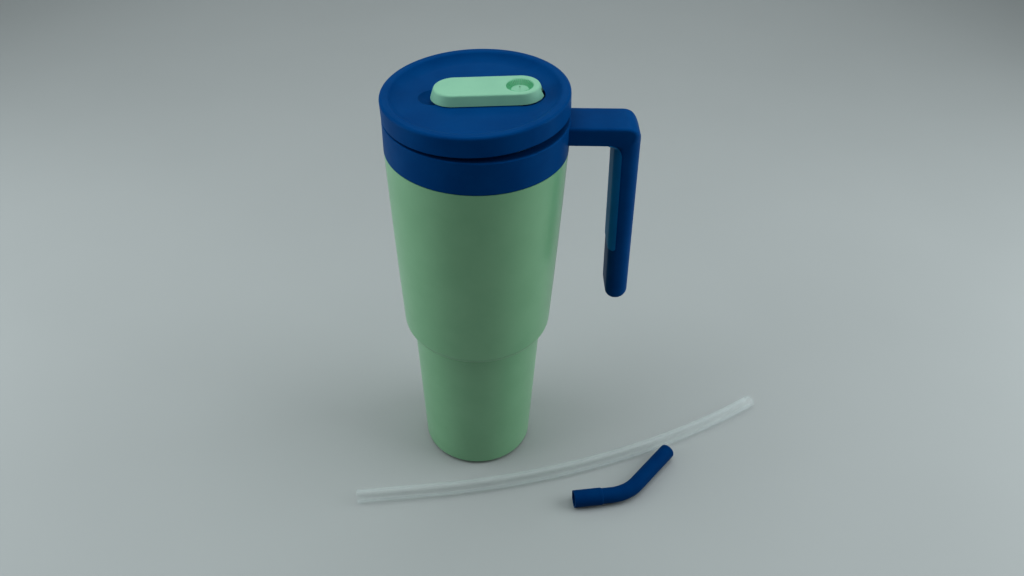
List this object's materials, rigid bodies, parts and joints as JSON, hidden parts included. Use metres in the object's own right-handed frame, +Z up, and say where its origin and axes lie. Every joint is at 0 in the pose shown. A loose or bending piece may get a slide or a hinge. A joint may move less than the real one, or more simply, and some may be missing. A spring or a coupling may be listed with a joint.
{
  "type": "insulated travel mug",
  "caption": "Double-wall insulated travel tumbler with a blue collar and open-ended strap handle, a press-in flip lid, a clear curved straw and a bent silicone mouthpiece.",
  "frame": {"origin": "centre of the base pad's underside, on the tumbler's axis", "axes": "+Z up along the tumbler's axis, +X towards the handle, -Y towards the straw"},
  "size_m": [0.2731, 0.1229, 0.2615],
  "materials": {
    "mint_powder_coat": "satin powder coat with a fine grain",
    "brushed_steel": "brushed stainless steel",
    "getter_metal": "matt sintered metal",
    "dark_silicone": "matt silicone",
    "clear_silicone": "milky translucent silicone",
    "blue_plastic": "satin moulded plastic",
    "teal_grip": "soft-touch overmould",
    "mint_silicone": "soft satin silicone",
    "pin_steel": "ground steel",
    "mint_plastic": "satin moulded plastic",
    "clear_plastic": "clear glossy extruded plastic",
    "blue_silicone": "soft satin silicone"
  },
  "bodies": {
    "tumbler": {"outer_shell": "mint_powder_coat", "inner_shell": "brushed_steel", "base_plate": "brushed_steel", "vacuum_getter": "getter_metal", "base_pad": "dark_silicone", "neck_seal": "clear_silicone", "collar_ring": "blue_plastic", "handle_frame": "blue_plastic", "grip_pad": "teal_grip"},
    "gasket": {"lid_gasket": "clear_silicone"},
    "lid": {"lid_cover": "blue_plastic", "lid_plug": "blue_plastic", "straw_port": "mint_silicone", "vent_valve": "clear_silicone", "cap_pin": "pin_steel"},
    "cap": {"flip_cap": "mint_plastic", "cap_seal": "mint_silicone"},
    "straw": {"straw": "clear_plastic"},
    "mouthpiece": {"straw_tip": "blue_silicone"}
  },
  "joints": [
    {"name": "lid_lift", "type": "slide", "parent": "tumbler", "child": "gasket", "axis": [0, 0, 1], "range_m": [0, 0.13]},
    {"name": "lid_rock", "type": "hinge", "parent": "gasket", "child": "lid", "pos_m": [-0.04981, 0.00436, 0.24405], "axis": [-0.0872, -0.9962, 0], "range_deg": [-2.8, 0]},
    {"name": "cap_flip", "type": "hinge", "parent": "lid", "child": "cap", "pos_m": [0.02983, 0.00005, 0.25771], "axis": [0.0001, 1, -0.0043], "range_deg": [0, 95]},
    {"name": "straw_lift", "type": "slide", "parent": "tumbler", "child": "straw", "axis": [0, 0, 1], "range_m": [0, 0.12]},
    {"name": "tip_lift", "type": "slide", "parent": "tumbler", "child": "mouthpiece", "axis": [0, 0, 1], "range_m": [0, 0.12]}
  ]
}
